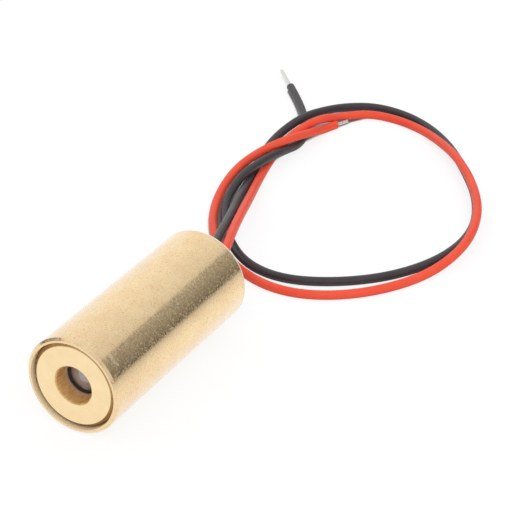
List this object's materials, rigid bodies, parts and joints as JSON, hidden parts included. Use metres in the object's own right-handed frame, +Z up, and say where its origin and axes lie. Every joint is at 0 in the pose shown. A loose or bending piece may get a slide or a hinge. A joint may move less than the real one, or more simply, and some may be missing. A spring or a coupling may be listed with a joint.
{
  "type": "laser diode module",
  "caption": "Small round brass laser module with a recessed lens cap at the front, a sealed rear end and red and black supply leads looped behind it.",
  "frame": {"origin": "on the optical axis in the plane of the front rim", "axes": "-Y along the beam, out of the aperture; +Y along the barrel to its rear; +Z up as it lies on its side"},
  "size_m": [0.0358, 0.0703, 0.009],
  "materials": {
    "brass": "turned, lightly handled",
    "cap_brass": "faced, matt",
    "acrylic": "moulded, clear",
    "spring_steel": "drawn wire",
    "gold_plate": "gold plated",
    "nickel_plate": "nickel plated",
    "window_glass": "clear",
    "white_ceramic": "ground",
    "semiconductor": "polished",
    "seal_glass": "fused",
    "board_green": "solder resist",
    "mould_black": "moulded",
    "tin": "tinned",
    "resistor_black": "glazed",
    "capacitor_tan": "fired",
    "copper": "stranded",
    "epoxy": "cast",
    "red_pvc": "satin",
    "black_pvc": "satin"
  },
  "bodies": {
    "root": {"barrel": "brass", "lens_cap": "cap_brass", "collimating_lens": "acrylic", "focus_spring": "spring_steel", "diode_header": "gold_plate", "diode_can": "nickel_plate", "diode_window": "window_glass", "chip_submount": "white_ceramic", "laser_chip": "semiconductor", "monitor_photodiode": "semiconductor", "anode_pin": "gold_plate", "monitor_pin": "gold_plate", "common_pin": "gold_plate", "pin_seals": "seal_glass", "driver_board": "board_green", "transistor_body": "mould_black", "transistor_leads": "tin", "sense_resistor": "resistor_black", "bias_resistor": "resistor_black", "filter_capacitor": "capacitor_tan", "pin_solder": "tin", "lead_solder": "tin", "red_core": "copper", "black_core": "copper", "rear_seal": "epoxy", "red_lead": "red_pvc", "black_lead": "black_pvc", "red_tinned_end": "tin", "black_tinned_end": "tin"}
  },
  "joints": []
}
